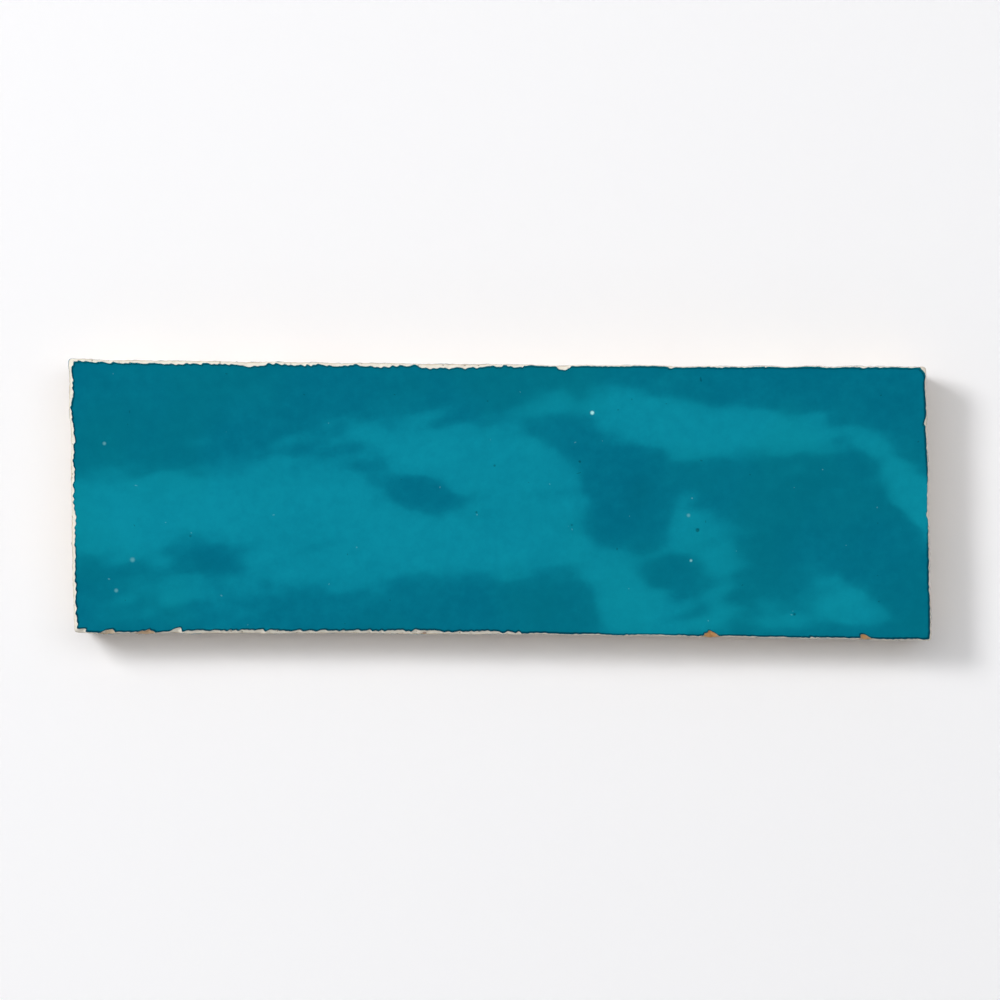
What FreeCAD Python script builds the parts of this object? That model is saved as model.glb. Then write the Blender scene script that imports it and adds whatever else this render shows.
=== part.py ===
"""A hand-cut zellige tile of the long bejmat format: one piece of fired clay, glazed on its face.

All lengths are millimetres. The tile lies on its flat back on the XY plane with the glazed face up, its
length along X and its width along Y. The origin is in the middle of the back. The side at -Y is called
the front side, the side at +Y the rear side.
"""
import FreeCAD, Part
import math
import os
import Sketcher

Vector = FreeCAD.Vector

# Sizes of the blank: the land is the upright part of each side, below which the side leans in by the
# undercut, and the skew is how far the front side is shifted towards +X against the rear side
BLANK = {
    "length": 150.0,
    "width": 48.0,
    "thickness": 12.0,
    "land": 4.0,
    "undercut": 1.0,
    "skew": 1.3,
    "front_bow": 0.5,
    "rear_bow": 0.3,
    "corner_radius": 0.7,
    "arris_radius": 0.4,
    "back_bevel": 0.4,
    "face_fall": 0.72,
    "face_dish": 0.12,
    "face_roll": 0.10,
}

# Flats that the dressing hammer left on the face. Each falls towards the rear side, or towards the
# front side where its strength is below zero: its middle as shares of the half length and half width,
# its reach along and across as shares of the half width, its turn in degrees and its strength, which is
# a share of the fall over half the width. Between the flats the face rises by the balance instead.
FLATS = {
    "left": (-0.69, -0.06, 1.25, 0.33, 3, 1.0),
    "left_end": (-0.90, -0.19, 0.50, 0.29, 0, 0.45),
    "middle_rear": (-0.19, 0.35, 0.50, 0.27, 0, 0.75),
    "middle": (-0.11, -0.10, 1.00, 0.46, 0, 1.0),
    "middle_front": (-0.08, -0.46, 0.92, 0.19, 0, 0.35),
    "middle_right": (0.08, 0.33, 0.33, 0.23, 0, 0.56),
    "front_neck": (0.30, -0.63, 0.42, 0.23, -62, 1.0),
    "neck_foot": (0.41, -0.88, 0.38, 0.15, 0, 0.7),
    "rear_band": (0.32, 0.61, 0.50, 0.22, -10, 1.1),
    "right_band": (0.62, 0.53, 0.67, 0.18, 0, 1.1),
    "end_band": (0.94, 0.17, 0.44, 0.16, -52, 1.1),
    "small_right": (0.45, -0.15, 0.22, 0.23, 0, 0.95),
    "small_front": (0.51, -0.58, 0.16, 0.40, 0, 0.6),
    "right_front": (0.80, -0.73, 0.31, 0.18, -14, 1.1),
    "left_front": (-0.70, -0.75, 0.71, 0.23, 2, 0.47),
    "dark_middle": (-0.18, 0.10, 0.42, 0.16, -22, -1.2),
    "dark_right": (0.32, 0.08, 0.33, 0.42, 0, -0.5),
    "dark_front": (-0.03, -0.79, 1.04, 0.20, 4, -0.5),
}
BALANCE = 0.5

# The long roll of the face: its wavelength as a share of the length, and where it starts in degrees
ROLL = (0.61, 34)

# Chips of the arris: the end and the side each one is nearest to, as signs of X and Y, then its place,
# its length along the edge and its depth. The place is measured from the end on a long side, and from
# the side on an end.
SIDE_CHIPS = {
    "rear_chip": (1, 1, 64.0, 2.6, 0.9),
    "small_rear_chip": (1, 1, 45.0, 1.4, 0.6),
    "front_chip": (1, -1, 38.0, 2.4, 1.1),
    "small_front_chip": (1, -1, 11.0, 1.8, 0.7),
}
END_CHIPS = {
    "upper_end_chip": (1, 1, 9.5, 1.4, 0.6),
    "lower_end_chip": (1, -1, 22.0, 1.6, 0.6),
}
CORNER_CHIPS = {
    "front_left_chip": (-1, -1, 2.6, 0.8),
    "rear_right_chip": (1, 1, 2.6, 0.8),
}

# Corners of the outline, counterclockwise: the signs of X and Y, and where the corner's arc begins
CORNERS = {
    "front_left": (-1, -1, 180),
    "front_right": (1, -1, 270),
    "rear_right": (1, 1, 0),
    "rear_left": (-1, 1, 90),
}
QUARTER_TURN = 90

# The size that hollows each side, beginning with the front one
BOWS = ("front_bow", None, "rear_bow", None)

# How finely the dressed face is laid out: points along and across
FACE_COLUMNS = 53
FACE_ROWS = 25


def fill_sheet(document):
    """Write every driving size into a sheet, each with its own alias, and return their values."""
    sizes = dict(BLANK)
    for name, (_, _, place, long, deep) in {**SIDE_CHIPS, **END_CHIPS}.items():
        sizes.update({f"{name}_place": place, f"{name}_long": long, f"{name}_deep": deep})
    for name, (_, _, long, deep) in CORNER_CHIPS.items():
        sizes.update({f"{name}_long": long, f"{name}_deep": deep})
    sheet = document.addObject("Spreadsheet::Sheet", "Sizes")
    for row, (name, value) in enumerate(sizes.items(), 1):
        sheet.set(f"A{row}", name)
        sheet.set(f"B{row}", str(value))
        sheet.setAlias(f"B{row}", name)
    document.recompute()
    return {name: getattr(sheet, name) for name in sizes}


def bowed_side(start, end, bow):
    """The arc between two corners that hollows the outline by bow, and its two ends in sketch order."""
    chord = end - start
    half = chord.Length / 2
    radius = (half**2 + bow**2) / (2 * bow)
    outward = Vector(chord.y, -chord.x, 0).normalize()
    centre = (start + end) / 2 + outward * (radius - bow)
    angles = [math.atan2(point.y - centre.y, point.x - centre.x) for point in (end, start)]
    return Part.ArcOfCircle(Part.Circle(centre, Vector(0, 0, 1), radius), *angles), (2, 1)


def draw_outline(body, sizes, name, level, insets):
    """An outline of the tile: long sides bowed inward, straight slanting ends, round corners.

    The level is the expression of its height, and the insets are the names of the sizes by which it lies
    inside the outline at the land.
    """
    sketch = body.newObject("Sketcher::SketchObject", name)
    ground = next(plane for plane in body.Origin.OriginFeatures if plane.Role == "XY_Plane")
    sketch.AttachmentSupport = [(ground, "")]
    sketch.MapMode = "FlatFace"
    sketch.setExpression("AttachmentOffset.Base.z", level)

    def bind(constraint, label, expression):
        sketch.renameConstraint(sketch.addConstraint(constraint), label)
        sketch.setExpression(f"Constraints.{label}", expression)

    radius = sizes["corner_radius"]
    margin = radius + sum(sizes[inset] for inset in insets)
    arcs = []
    for end, side, turn in CORNERS.values():
        centre = Vector(
            end * (sizes["length"] / 2 - margin) - side * sizes["skew"] / 2,
            side * (sizes["width"] / 2 - margin),
            0,
        )
        circle = Part.Circle(centre, Vector(0, 0, 1), radius)
        angles = math.radians(turn), math.radians(turn + QUARTER_TURN)
        arcs.append(sketch.addGeometry(Part.ArcOfCircle(circle, *angles)))

    less = "".join(f" - Sizes.{size}" for size in ("corner_radius", *insets))
    for place, (arc, bow) in enumerate(zip(arcs, BOWS)):
        following = arcs[(place + 1) % len(arcs)]
        start = sketch.Geometry[arc].EndPoint
        end = sketch.Geometry[following].StartPoint
        if bow:
            curve, ends = bowed_side(start, end, sizes[bow])
        else:
            curve, ends = Part.LineSegment(start, end), (1, 2)
        side = sketch.addGeometry(curve)
        sketch.addConstraint(Sketcher.Constraint("Tangent", arc, 2, side, ends[0]))
        sketch.addConstraint(Sketcher.Constraint("Tangent", side, ends[1], following, 1))
        if bow:
            half, hollow = f"(Sizes.length / 2{less})", f"Sizes.{bow}"
            fixed = Sketcher.Constraint("Radius", side, curve.Radius)
            bind(fixed, f"{bow}_radius", f"({half}^2 + {hollow}^2) / (2 * {hollow})")

    for arc, (corner, (end, side, _)) in zip(arcs, CORNERS.items()):
        centre = sketch.Geometry[arc].Center
        across = f"{end} * (Sizes.length / 2{less}) - {side} * Sizes.skew / 2"
        upward = f"{side} * (Sizes.width / 2{less})"
        bind(Sketcher.Constraint("Radius", arc, radius), f"{corner}_radius", "Sizes.corner_radius")
        bind(Sketcher.Constraint("DistanceX", -1, 1, arc, 3, centre.x), f"{corner}_x", across)
        bind(Sketcher.Constraint("DistanceY", -1, 1, arc, 3, centre.y), f"{corner}_y", upward)
    return sketch


def raise_blank(document, sizes):
    """The cut blank, taller than the tile: upright above the land line and leaning in below it."""
    body = document.addObject("PartDesign::Body", "tile")
    land = draw_outline(body, sizes, "land_outline", "Sizes.thickness - Sizes.land", [])
    heel = draw_outline(body, sizes, "heel_outline", "Sizes.back_bevel", ["undercut"])
    back = draw_outline(body, sizes, "back_outline", "0 mm", ["undercut", "back_bevel"])
    upper = body.newObject("PartDesign::Pad", "upper_sides")
    upper.Profile = (land, [""])
    upper.setExpression("Length", "Sizes.thickness")
    lower = body.newObject("PartDesign::AdditiveLoft", "undercut_sides")
    lower.Profile = (back, [""])
    lower.Sections = [(heel, [""]), (land, [""])]
    lower.Ruled = True
    document.recompute()
    return body


def fallen(x, y, flat, sizes):
    """How far a flat has fallen between the front of the tile and a point, for a fall of 1 on a half width.

    The flat's pitch fades with distance from its middle as a bell curve does, so the fall is that curve
    added up across the tile.
    """
    share_along, share_across, along, across, turn, strength = flat
    half = sizes["width"] / 2
    dx, dy = (x - share_along * sizes["length"] / 2) / half, y / half - share_across
    cosine, sine = math.cos(math.radians(turn)), math.sin(math.radians(turn))
    tight, wide = 1 / across**2, 1 / along**2
    lengthwise = wide * cosine**2 + tight * sine**2
    mixed = (wide - tight) * cosine * sine
    crosswise = wide * sine**2 + tight * cosine**2
    ridge = math.exp(-(lengthwise - mixed**2 / crosswise) * dx**2)
    reached = math.erf(math.sqrt(crosswise) * (dy + mixed * dx / crosswise))
    return strength * ridge * math.sqrt(math.pi / crosswise) / 2 * reached


def face_height(x, y, sizes):
    """Height of the glazed face over a point of the back."""
    across = y / (sizes["width"] / 2)
    fall = sum(fallen(x, y, flat, sizes) for flat in FLATS.values()) - BALANCE * across
    wavelength, start = ROLL[0] * sizes["length"], math.radians(ROLL[1])
    roll = sizes["face_roll"] * math.sin(2 * math.pi * x / wavelength + start)
    return sizes["thickness"] - sizes["face_fall"] * fall + sizes["face_dish"] * across**2 + roll


def dress_face(document, body, sizes):
    """Cut the blank down to the uneven face of a tile that was dressed by hand."""
    spare = sizes["width"] / 4
    half_length = sizes["length"] / 2 + spare
    half_width = sizes["width"] / 2 + spare
    columns = [half_length * (2 * step / (FACE_COLUMNS - 1) - 1) for step in range(FACE_COLUMNS)]
    rows = [half_width * (2 * step / (FACE_ROWS - 1) - 1) for step in range(FACE_ROWS)]
    surface = Part.BSplineSurface()
    surface.interpolate([[Vector(x, y, face_height(x, y, sizes)) for y in rows] for x in columns])
    above_face = document.addObject("Part::Feature", "above_face")
    above_face.Shape = surface.toShape().extrude(Vector(0, 0, 2 * sizes["thickness"]))
    cutter = document.addObject("PartDesign::Body", "face_cutter")
    cutter.BaseFeature = above_face
    document.recompute()
    dressed = body.newObject("PartDesign::Boolean", "dressed_face")
    dressed.Type = "Cut"
    dressed.setObjects([cutter])
    document.recompute()
    return dressed


def round_arris(document, body, dressed):
    """Round the edge between the glazed face and the sides."""
    face = max(dressed.Shape.Faces, key=lambda candidate: candidate.CenterOfMass.z)
    rim = [
        f"Edge{number}"
        for number, edge in enumerate(dressed.Shape.Edges, 1)
        if any(edge.isSame(border) for border in face.Edges)
    ]
    arris = body.newObject("PartDesign::Fillet", "arris")
    arris.Base = (dressed, rim)
    arris.setExpression("Radius", "Sizes.arris_radius")
    document.recompute()


def add_chip(document, name, end, side, place_along, place_across, lean):
    """A shell-shaped flake off the arris: a ball centred outside the tile, out along its lean."""
    chip = document.addObject("Part::Sphere", name)
    half_long, deep = f"(Sizes.{name}_long / 2)", f"Sizes.{name}_deep"
    radius = f"({half_long}^2 + {deep}^2) / (2 * {deep})"
    chip.setExpression("Radius", radius)
    stand_off = f"({radius} - {deep}) / {math.sqrt(sum(step * step for step in lean))}"
    across = f"{side} * (Sizes.width / 2{place_across})"
    along = f"{end} * (Sizes.length / 2{place_along}) - Sizes.skew * {across} / Sizes.width"
    for axis, edge, step in zip("xyz", (along, across, "Sizes.thickness"), lean):
        chip.setExpression(f"Placement.Base.{axis}", f"{edge} + {step} * {stand_off}")
    return chip


def chip_edges(document, body):
    """The finished tile: the rounded blank less the chips of its arris."""
    chips = []
    for name, (end, side, *_) in SIDE_CHIPS.items():
        place = f" - Sizes.{name}_place"
        bow = f"Sizes.{'front' if side < 0 else 'rear'}_bow"
        share = f"(1 - Sizes.{name}_place / (Sizes.length / 2))"
        hollow = f" - {bow} * (1 - {share}^2)"
        chips.append(add_chip(document, name, end, side, place, hollow, (0, side, 1)))
    for name, (end, side, *_) in END_CHIPS.items():
        place = f" - Sizes.{name}_place"
        chips.append(add_chip(document, name, end, side, "", place, (end, 0, 1)))
    for name, (end, side, *_) in CORNER_CHIPS.items():
        chips.append(add_chip(document, name, end, side, "", "", (end, side, 1)))
    bites = document.addObject("Part::Compound", "chips")
    bites.Links = chips
    tile = document.addObject("Part::Cut", "zellige_tile")
    tile.Base = body
    tile.Tool = bites
    tile.Label = "zellige_tile"
    tile.Placement = FreeCAD.Placement()
    document.recompute()
    return tile


def check(document, tile):
    """Stop where an object failed or the tile isn't one valid solid."""
    failed = [item.Name for item in document.Objects if {"Invalid", "Error"} & set(item.State)]
    if failed:
        raise RuntimeError(f"objects that failed: {failed}")
    if tile.Shape.isNull() or not tile.Shape.isValid() or len(tile.Shape.Solids) != 1:
        raise RuntimeError("the tile isn't one valid solid")


def main():
    document = FreeCAD.newDocument("zellige_tile")
    sizes = fill_sheet(document)
    body = raise_blank(document, sizes)
    dressed = dress_face(document, body, sizes)
    round_arris(document, body, dressed)
    whole = body.Shape.Volume
    tile = chip_edges(document, body)
    check(document, tile)
    print(f"tile {tile.Shape.Volume:.0f} mm3, of which the chips took {whole - tile.Shape.Volume:.2f} mm3")
    os.makedirs("parts", exist_ok=True)
    tile.Shape.exportStep(f"parts/{tile.Label}.step")


main()
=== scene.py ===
"""Dresses a long hand-cut zellige tile: uneven teal glaze, ragged arris, cut clay sides and a bare back.

The mesh replaces the plain solid in the same place. Sizes of the tile are in millimetres, as its maker
would give them, and are turned into metres when a mesh, a light or the camera is made.
"""
import logging
import math
from dataclasses import dataclass, field
from enum import Enum

import bpy
import numpy as np
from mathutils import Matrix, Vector


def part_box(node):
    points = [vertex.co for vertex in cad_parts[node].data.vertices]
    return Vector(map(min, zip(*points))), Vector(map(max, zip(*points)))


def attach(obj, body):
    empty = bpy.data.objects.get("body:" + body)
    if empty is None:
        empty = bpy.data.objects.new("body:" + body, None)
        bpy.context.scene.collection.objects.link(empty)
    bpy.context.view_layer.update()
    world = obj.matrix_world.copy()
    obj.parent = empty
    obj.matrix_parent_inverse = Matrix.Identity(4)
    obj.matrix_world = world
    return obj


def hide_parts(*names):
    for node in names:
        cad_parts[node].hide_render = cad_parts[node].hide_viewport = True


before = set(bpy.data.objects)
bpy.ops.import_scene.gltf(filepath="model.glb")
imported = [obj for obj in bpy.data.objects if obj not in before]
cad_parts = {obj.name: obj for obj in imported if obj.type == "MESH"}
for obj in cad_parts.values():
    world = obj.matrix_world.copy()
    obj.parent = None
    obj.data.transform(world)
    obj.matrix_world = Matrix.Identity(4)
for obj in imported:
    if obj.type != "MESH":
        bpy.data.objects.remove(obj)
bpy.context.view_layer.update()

MM = 0.001
NODE = "zellige_tile"
RIPPLE_WAVES = 60
MOTTLE_WAVES = 48
FACE_LEVEL = 12.0
log = logging.getLogger("tile")
Pair = tuple[float, float]
Rows = tuple[tuple[float, ...], ...]


class Surface(Enum):
    """What shows at a point of the tile, as the value of its glaze mark."""

    CLAY = 0.0
    GLAZE = 1.0


@dataclass(frozen=True)
class Tip:
    """A patch of the face that leans to the rear side, or to the front where its weight is below zero.

    Args:
        x, y: the middle of the patch.
        along, across: its reach, along its own long axis and across it.
        lean: turn of that axis from the tile's length, in degrees.
        weight: share of the face's common pitch.
    """

    x: float
    y: float
    along: float
    across: float
    lean: float
    weight: float

    def form(self) -> tuple[float, float, float]:
        """Work out how the squared distance from the patch's middle grows.

        Returns:
            Its factors: of x squared, of x times y twice and of y squared.
        """
        cosine, sine = math.cos(math.radians(self.lean)), math.sin(math.radians(self.lean))
        tight, wide = 1 / self.across**2, 1 / self.along**2
        return (
            wide * cosine**2 + tight * sine**2,
            (wide - tight) * cosine * sine,
            wide * sine**2 + tight * cosine**2,
        )

    def pitch(self, x: np.ndarray, y: np.ndarray) -> np.ndarray:
        """How strongly the patch leans.

        Args:
            x, y: points in millimetres.

        Returns:
            The lean at each point, from 0 to the patch's weight.
        """
        a, b, c = self.form()
        dx, dy = x - self.x, y - self.y
        return self.weight * np.exp(-(a * dx * dx + 2 * b * dx * dy + c * dy * dy))

    def drop(self, x: np.ndarray, y: np.ndarray) -> np.ndarray:
        """The patch's pitch added up across the tile, from where it is strongest to each point.

        Args:
            x, y: points in millimetres.

        Returns:
            The sum at each point, in millimetres.
        """
        a, b, c = self.form()
        dx, dy = x - self.x, y - self.y
        ridge = np.exp(-(a - b * b / c) * dx * dx)
        reached = erf(math.sqrt(c) * (dy + b * dx / c))
        return self.weight * ridge * math.sqrt(math.pi / c) / 2 * reached


def erf(values: np.ndarray) -> np.ndarray:
    """The error function of every value.

    Args:
        values: any numbers.

    Returns:
        An array of the same shape.
    """
    return np.vectorize(math.erf, otypes=[float])(values)


def ripple(places: np.ndarray, most: int, fewest: int, seed: int) -> np.ndarray:
    """An uneven line that closes on itself, of unit spread, made of random waves.

    Args:
        places: where to read it, each from 0 to 1 once round.
        most, fewest: how many of its shortest and its longest waves fit in one round.
        seed: chooses the line.

    Returns:
        The line's value at each place.
    """
    random = np.random.RandomState(seed)
    counts = np.unique(np.linspace(fewest, most, RIPPLE_WAVES).astype(int))
    line = np.zeros_like(places)
    for count in counts:
        phase, size = random.uniform(0, 2 * math.pi), random.uniform(0.5, 1)
        line += size * np.cos(2 * math.pi * count * places + phase)
    return line / max(line.std(), 1e-9)


def mottle(x: np.ndarray, y: np.ndarray, shortest: float, longest: float, seed: int) -> np.ndarray:
    """An uneven field of unit spread over a plane, made of random waves.

    Args:
        x, y: where to read it, in millimetres.
        shortest, longest: lengths of its waves in millimetres.
        seed: chooses the field.

    Returns:
        The field's value at each point.
    """
    random = np.random.RandomState(seed)
    value = np.zeros_like(x)
    for _ in range(MOTTLE_WAVES):
        length = math.exp(random.uniform(math.log(shortest), math.log(longest)))
        turn, phase = random.uniform(0, 2 * math.pi, 2)
        value += np.cos(2 * math.pi / length * (x * math.cos(turn) + y * math.sin(turn)) + phase)
    return value / math.sqrt(MOTTLE_WAVES / 2)


@dataclass(frozen=True)
class Rounds:
    """Random waves round the tile: their height, the most and the fewest in one round, and a seed."""

    height: float
    most: int
    fewest: int
    seed: int

    def read(self, places: np.ndarray) -> np.ndarray:
        """The waves at places from 0 to 1 once round, in millimetres."""
        return self.height * ripple(places, self.most, self.fewest, self.seed)


@dataclass(frozen=True)
class Swell:
    """Random waves over a plane, squeezed across it by a factor. Lengths are in millimetres."""

    height: float
    shortest: float
    longest: float
    seed: int
    squeeze: float = 1.0

    def read(self, x: np.ndarray, y: np.ndarray) -> np.ndarray:
        """The waves at each point, in millimetres."""
        return self.height * mottle(x, y * self.squeeze, self.shortest, self.longest, self.seed)


@dataclass(frozen=True)
class Face:
    """The hand-dressed glazed face: patches that lean one way or the other, a slight dish and waves.

    Args:
        pitch: slope of a patch of weight 1.
        balance: how far the face leans to the front between the patches, as a share of the pitch.
        dish: rise to the long sides, by the squared distance from the middle.
        roll, roll_length, roll_start: the slow roll along the tile.
    """

    level: float
    pitch: float = 0.03
    balance: float = 0.5
    dish: float = 0.0002
    roll: float = 0.10
    roll_length: float = 92.0
    roll_start: float = 0.6
    swells: tuple[Swell, ...] = (Swell(0.0022, 3.2, 9.0, 11), Swell(0.0068, 9.0, 22.0, 12))
    tips: tuple[Tip, ...] = (
        Tip(-52, -1.5, 30, 8.0, 3, 0.9),
        Tip(-14, 8.5, 12, 6.5, 0, 0.75),
        Tip(-8, -2.5, 24, 11.0, 0, 1.0),
        Tip(5, 8.0, 7, 5.3, 0, 0.52),
        Tip(-2, -9.0, 16, 5.0, 0, 0.3),
        Tip(-24, -13, 8, 4.0, 0, 0.36),
        Tip(11, -10.5, 7, 4.0, 0, 0.32),
        Tip(19, -20, 4, 5.0, 0, 0.4),
        Tip(-68, -4.5, 12, 7.0, 0, 0.45),
        Tip(22.5, -15, 10, 5.6, -62, 0.95),
        Tip(31, -21, 9, 3.5, 0, 0.56),
        Tip(25.5, 15.0, 12, 5.0, -12, 1.1),
        Tip(31.5, 8.7, 7.5, 3.4, 0, 0.42),
        Tip(47.2, 12.5, 15.6, 4.3, -2, 1.06),
        Tip(72.3, 2.0, 8.6, 3.4, -56, 1.1),
        Tip(75.5, 0, 3.6, 6.5, 0, 0.4),
        Tip(65, 9.8, 4.5, 2.2, -40, 0.4),
        Tip(32.2, -4.6, 5.0, 5.5, 0, 1.0),
        Tip(38.7, -14, 3.9, 9.5, 0, 0.56),
        Tip(60.2, -17.4, 7.5, 4.4, -12, 0.95),
        Tip(48, -21.0, 7.5, 3.2, 0, 0.56),
        Tip(-54, -18.5, 17, 6.0, 2, 0.54),
        Tip(-37, -12, 11, 6.0, 0, 0.42),
        Tip(-14, 1.6, 11, 4.1, -19, -1.2),
        Tip(-51.5, -11.3, 5.4, 2.0, -6, -0.62),
        Tip(24, 0.5, 7.6, 10.0, 0, -0.55),
        Tip(18, -4.5, 4.0, 3.6, -45, -0.35),
        Tip(-2, -18, 25, 4.8, 4, -0.2),
        Tip(-39, 4.6, 4.0, 2.6, 0, 0.35),
        Tip(-35, 8.6, 4.0, 2.4, 0, -0.3),
        Tip(-23, 10.5, 4.5, 3.0, 0, 0.16),
        Tip(-52, 6.4, 5.5, 2.4, 0, -0.18),
        Tip(-38, 12, 13, 4.5, 0, 0.24),
        Tip(4.5, 15.6, 5.5, 4.0, 0, 0.24),
        Tip(13, -0.5, 3.0, 5.0, 0, 0.28),
        Tip(48, -7, 12, 10.0, 0, 0.22),
        Tip(69, 13, 4.0, 2.5, 0, -0.3),
        Tip(11.5, 15.5, 3.5, 4.0, 0, 0.24),
        Tip(-66, -13, 7, 5.0, 0, 0.14),
    )

    def lean(self, x: np.ndarray, y: np.ndarray) -> np.ndarray:
        """How far the face leans to the rear at each point, from about -1 to 1. The glaze is painted
        lighter by it, as a painted reflection of the soft box.

        Args:
            x, y: points in millimetres.

        Returns:
            The lean at each point, as a share of the common pitch.
        """
        return sum(tip.pitch(x, y) for tip in self.tips) - self.balance

    def height(self, x: np.ndarray, y: np.ndarray) -> np.ndarray:
        """Height of the face over the back.

        Args:
            x, y: points in millimetres.

        Returns:
            The height at each point in millimetres.
        """
        drop = sum(tip.drop(x, y) for tip in self.tips) - self.balance * y
        roll = self.roll * np.sin(2 * math.pi * x / self.roll_length + self.roll_start)
        fine = sum(swell.read(x, y) for swell in self.swells)
        return self.level - self.pitch * drop + self.dish * y * y + roll + fine


@dataclass(frozen=True)
class Chip:
    """A bite out of the glazed edge, by its place, its half length along the edge and its width inward.

    Earth is how much orange clay shows in it, from 0 to 1.
    """

    x: float
    y: float
    half: float
    width: float
    earth: float = 0.0


@dataclass
class Outline:
    """The tile seen from above, as one ring of points counterclockwise from the front left corner.

    Args:
        skew: how far the front side is shifted along against the rear side.
        front_bow, rear_bow: how far each long side is hollowed.
        border: how far in the inner ring lies, inside which the face is one grid.
        columns, rows: points along a long side and along an end.
    """

    length: float
    width: float
    skew: float = 1.3
    front_bow: float = 0.5
    rear_bow: float = 0.3
    corner: float = 0.7
    border: float = 2.7
    columns: int = 576
    rows: int = 184
    outer: np.ndarray = field(init=False)
    inner: np.ndarray = field(init=False)

    def __post_init__(self) -> None:
        """Work out both rings."""
        self.outer = self.ring(0.0, self.corner)
        self.inner = self.ring(self.border, 0.0)

    @property
    def count(self) -> int:
        """How many points a ring has."""
        return 2 * (self.columns + self.rows)

    @property
    def places(self) -> np.ndarray:
        """Each point's place on the ring, from 0 to 1."""
        return np.arange(self.count) / self.count

    @property
    def around(self) -> float:
        """Length of the way round the tile."""
        return 2 * (self.length + self.width)

    def ring(self, inset: float, radius: float) -> np.ndarray:
        """Points of the outline, moved inward.

        Args:
            inset: how far inward, in millimetres.
            radius: radius of its corners.

        Returns:
            An array of points in X and Y.
        """
        half_x = self.length / 2 - self.skew / 2 - inset
        half_y = self.width / 2 - inset
        signs = ((-1, -1), (1, -1), (1, 1), (-1, 1))
        corners = [np.array([sx * half_x - sy * self.skew / 2 * half_y * 2 / self.width, sy * half_y])
                   for sx, sy in signs]
        steps = (self.columns, self.rows, self.columns, self.rows)
        bows = (self.front_bow, 0.0, self.rear_bow, 0.0)
        points = []
        for side, (count, bow) in enumerate(zip(steps, bows)):
            start, end = corners[side], corners[(side + 1) % 4]
            run = end - start
            span = float(np.hypot(*run))
            ahead = run / span
            inward = np.array([-ahead[1], ahead[0]])
            quarter = radius * math.pi / 4
            walked = np.arange(count) / count * (span - 2 * radius + 2 * quarter)
            for step in walked:
                if step < quarter:
                    turn = math.pi / 4 - step / radius
                    offset = radius * np.array([1 - math.sin(turn), 1 - math.cos(turn)])
                elif step > span - 2 * radius + quarter:
                    turn = (step - (span - 2 * radius + quarter)) / radius
                    ahead_by = span - radius + radius * math.sin(turn)
                    offset = np.array([ahead_by, radius * (1 - math.cos(turn))])
                else:
                    offset = np.array([step - quarter + radius, 0.0])
                share = offset[0] / span
                hollow = bow * 4 * share * (1 - share)
                points.append(start + ahead * offset[0] + inward * (offset[1] + hollow))
        return np.array(points)

    def at(self, inset: np.ndarray) -> np.ndarray:
        """Points of the ring at an inset of their own each.

        Args:
            inset: distance inward from the outline for every point of the ring.

        Returns:
            An array of points in X and Y.
        """
        return self.outer + (self.inner - self.outer) * (inset / self.border)[:, None]


@dataclass
class Band:
    """One ring of the mesh: how far in and how high each point is, its glaze mark and its shade.

    The shade adds to the glaze's tone; on the glaze it is painted shade along the rim. On clay it is above
    0 for orange earth, below 0 for a fresh break.
    """

    inset: np.ndarray
    height: np.ndarray
    glaze: np.ndarray
    shade: np.ndarray | float = 0.0


@dataclass
class Shape:
    """Collects the points, faces and marks of a mesh."""

    points: list[np.ndarray] = field(default_factory=list)
    glaze: list[np.ndarray] = field(default_factory=list)
    tone: list[np.ndarray] = field(default_factory=list)
    faces: list[np.ndarray] = field(default_factory=list)
    total: int = 0

    def add(self, points: np.ndarray, glaze: np.ndarray, tone: np.ndarray) -> np.ndarray:
        """Add points with their marks.

        Args:
            points: an array of points in X, Y and Z.
            glaze: the value of what shows at each point.
            tone: how light the glaze is at each point, holding a painted reflection where the face leans
                to the rear and painted shade at the rim.

        Returns:
            The numbers of the new points.
        """
        self.points.append(points)
        self.glaze.append(glaze)
        self.tone.append(tone)
        numbers = np.arange(self.total, self.total + len(points))
        self.total += len(points)
        return numbers

    def strip(self, upper: np.ndarray, lower: np.ndarray) -> None:
        """Join two rings of as many points, the upper one inside or above the lower one."""
        self.faces.append(np.stack([upper, lower, np.roll(lower, -1), np.roll(upper, -1)], axis=1))

    def halve(self, coarse: np.ndarray, fine: np.ndarray, outward: bool) -> None:
        """Join a ring to one of half as many points.

        Args:
            coarse: the ring with fewer points.
            fine: the ring with twice as many.
            outward: whether the fine ring lies outside or below the coarse one.
        """
        first, middle, last = fine[0::2], fine[1::2], np.roll(fine, -2)[0::2]
        following = np.roll(coarse, -1)
        for corners in ((coarse, first, middle), (coarse, middle, following), (following, middle, last)):
            order = corners if outward else corners[::-1]
            self.faces.append(np.stack(order, axis=1))

    def sheet(self, grid: np.ndarray, upward: bool) -> None:
        """Fill a grid with squares.

        Args:
            grid: point numbers by column and row.
            upward: whether the squares face up, and not down.
        """
        corners = (grid[:-1, :-1], grid[1:, :-1], grid[1:, 1:], grid[:-1, 1:])
        order = corners if upward else corners[::-1]
        self.faces.append(np.stack([corner.ravel() for corner in order], axis=1))

    def mesh(self, name: str) -> bpy.types.Mesh:
        """Make the mesh in metres, smooth, with its marks as attributes.

        Args:
            name: what it is called.

        Returns:
            The finished mesh.
        """
        mesh = bpy.data.meshes.new(name)
        points = np.concatenate(self.points) * MM
        faces = [face for block in self.faces for face in block.tolist()]
        mesh.from_pydata(points.tolist(), [], faces)
        for label, values in (("glaze", self.glaze), ("tone", self.tone)):
            mark = mesh.attributes.new(label, "FLOAT", "POINT")
            mark.data.foreach_set("value", np.concatenate(values).astype(np.float32))
        mesh.polygons.foreach_set("use_smooth", [True] * len(mesh.polygons))
        mesh.update()
        return mesh


def linked(item: bpy.types.Object) -> bpy.types.Object:
    """Put an object into the scene and return it."""
    bpy.context.scene.collection.objects.link(item)
    return item


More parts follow.
